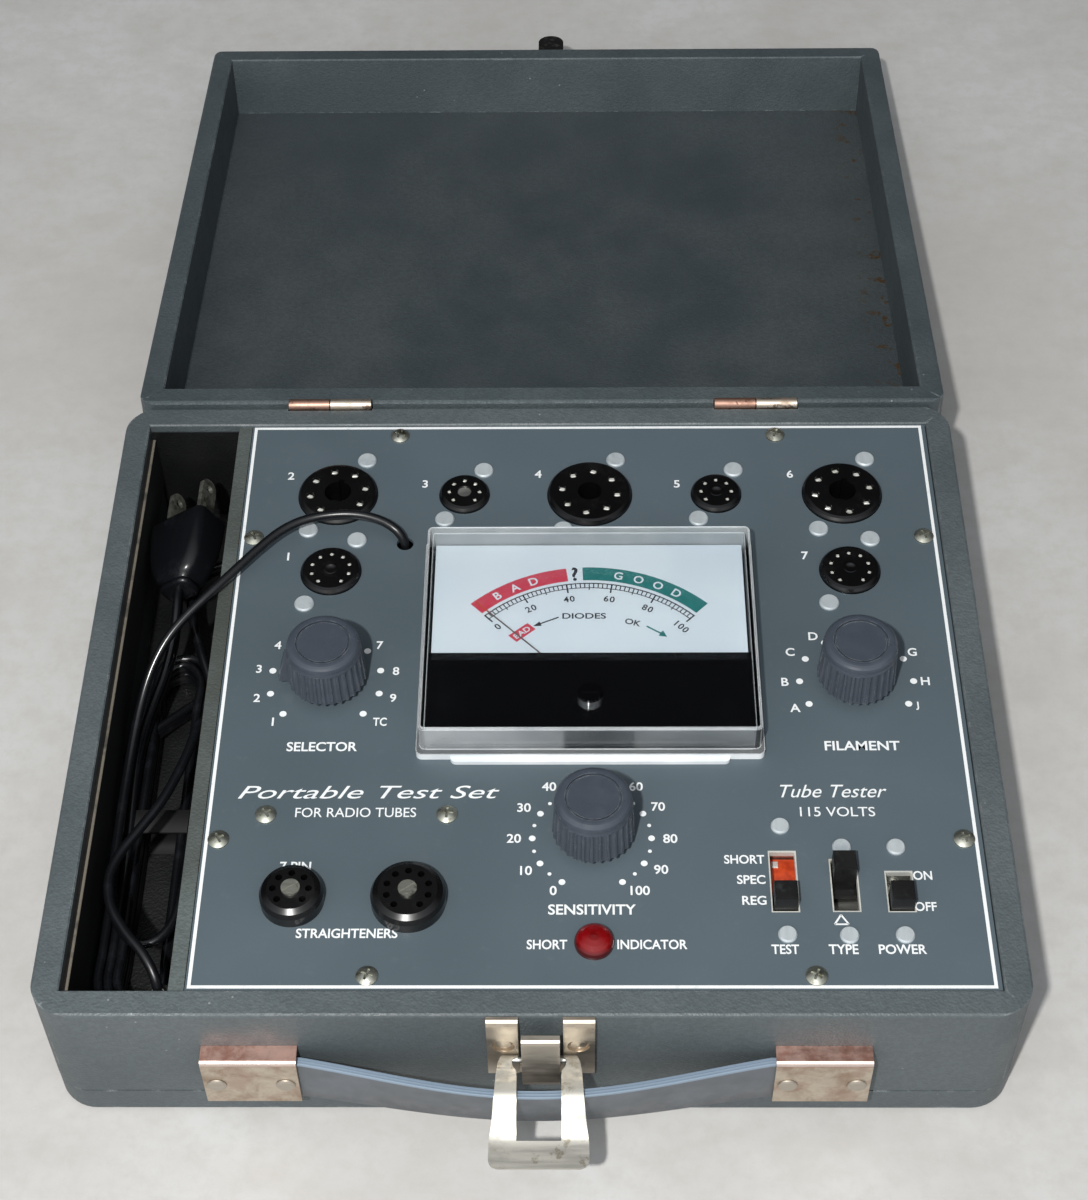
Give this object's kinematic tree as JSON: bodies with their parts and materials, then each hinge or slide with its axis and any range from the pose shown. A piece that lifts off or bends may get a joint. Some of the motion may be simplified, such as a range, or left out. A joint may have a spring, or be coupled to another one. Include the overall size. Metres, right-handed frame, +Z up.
{
  "type": "tube tester",
  "caption": "Portable radio tube tester in a hinged wooden carrying case: sloping meter, rotary and slide controls, tube sockets, cord compartment, strap handle and bail latch.",
  "frame": {"origin": "centre of the underside of the base case, on the table plane", "axes": "+Z up, +X to the right, -Y towards the user at the handle side; the opened lid lies behind the base on +Y"},
  "size_m": [0.266, 0.4907, 0.071],
  "materials": {
    "case": "painted board covered in dark grey pebbled paint",
    "cleat": "bare softwood",
    "panel": "slate grey enamel",
    "screw": "nickel plated",
    "iron": "varnished laminations",
    "bakelite": "black moulded phenolic",
    "rivet": "plated",
    "contact": "tinned spring metal",
    "clear_cover": "clear moulded cover",
    "dial": "printed dial, satin",
    "movement": "mixed metal and fibre",
    "needle": "blackened",
    "nut": "plated",
    "shaft": "turned",
    "knob": "dark slate grey moulded",
    "switch_frame": "plated pressing",
    "slider": "black moulded",
    "lamp_metal": "plated",
    "jewel": "translucent red",
    "hinge_copper": "worn coppery plating",
    "hinge_nickel": "worn nickel plating",
    "catch": "dark",
    "latch": "warm nickel plating",
    "bracket": "warm worn plating",
    "strap": "grey woven strap with a rubberised face",
    "cord": "black",
    "plug": "black moulded with plated blades"
  },
  "bodies": {
    "case": {"base_front_wall": "case", "base_back_wall": "case", "base_left_wall": "case", "base_right_wall": "case", "bottom_board": "case", "divider": "case", "panel_cleats": "cleat", "panel_plate": "panel", "panel_screws": "screw", "transformer": "iron", "transformer_screws": "screw", "octal_socket_2": "bakelite", "miniature_socket_3": "bakelite", "loctal_socket_4": "bakelite", "miniature_socket_5": "bakelite", "octal_socket_6": "bakelite", "noval_socket_7": "bakelite", "noval_socket_1": "bakelite", "socket_rivets": "rivet", "socket_contacts": "contact", "pin_straighteners": "bakelite", "straightener_screws": "screw", "meter_body": "bakelite", "meter_cover": "clear_cover", "meter_mask": "bakelite", "meter_dial": "dial", "meter_movement": "movement", "rotary_controls": "movement", "control_nuts": "nut", "slide_switches": "switch_frame", "switch_rivets": "rivet", "lamp_holder": "lamp_metal", "lamp_jewel": "jewel", "hinge_base_leaves": "hinge_copper", "latch_plate": "latch", "handle_brackets": "bracket", "handle_strap": "strap", "front_rivets": "rivet", "cap_lead": "cord", "power_cord": "cord", "power_plug": "plug"},
    "lid": {"hinge_lid_leaves": "hinge_nickel", "lid_front_wall": "case", "lid_back_wall": "case", "lid_left_wall": "case", "lid_right_wall": "case", "lid_board": "case", "lid_catch": "catch"},
    "selector": {"selector_knob": "knob", "control_shaft_1": "shaft"},
    "filament": {"filament_knob": "knob", "control_shaft_2": "shaft"},
    "sensitivity": {"sensitivity_knob": "knob", "control_shaft_3": "shaft"},
    "test_button": {"test_slider": "slider"},
    "type_button": {"type_slider": "slider"},
    "power_button": {"power_slider": "slider"},
    "needle": {"meter_needle": "needle"},
    "zero_adjuster": {"meter_zero_screw": "bakelite"},
    "bail": {"latch_bail": "latch"}
  },
  "joints": [
    {"name": "lid_hinge", "type": "hinge", "parent": "case", "child": "lid", "pos_m": [0, 0.1129, 0.0534], "axis": [1, 0, 0], "range_deg": [0, 186.5]},
    {"name": "bail_pivot", "type": "hinge", "parent": "case", "child": "bail", "pos_m": [0.0022, -0.1154, 0.0356], "axis": [1, 0, 0], "range_deg": [-86, 0]},
    {"name": "selector_turn", "type": "hinge", "parent": "case", "child": "selector", "pos_m": [-0.0606, -0.0003, 0.06], "axis": [0, 0, 1], "range_deg": [-231, 39]},
    {"name": "filament_turn", "type": "hinge", "parent": "case", "child": "filament", "pos_m": [0.0942, -0.0003, 0.06], "axis": [0, 0, 1], "range_deg": [-118, 122]},
    {"name": "sensitivity_turn", "type": "hinge", "parent": "case", "child": "sensitivity", "pos_m": [0.017, -0.0547, 0.06], "axis": [0, 0, 1], "range_deg": [-195, 105]},
    {"name": "test_slide", "type": "slide", "parent": "case", "child": "test_button", "axis": [0, 1, 0], "range_m": [0, 0.0124]},
    {"name": "type_slide", "type": "slide", "parent": "case", "child": "type_button", "axis": [0, 1, 0], "range_m": [-0.0096, 0]},
    {"name": "power_slide", "type": "slide", "parent": "case", "child": "power_button", "axis": [0, 1, 0], "range_m": [0, 0.0058]},
    {"name": "needle_swing", "type": "hinge", "parent": "case", "child": "needle", "pos_m": [0.0163, -0.0112, 0.0578], "axis": [0, 0, 1], "range_deg": [-88, 0], "stiffness_Nm_per_rad": 0.00002},
    {"name": "zero_turn", "type": "hinge", "parent": "case", "child": "zero_adjuster", "pos_m": [0.0163, -0.0136, 0.062], "axis": [0, 0, 1], "range_deg": [-40, 40]}
  ]
}
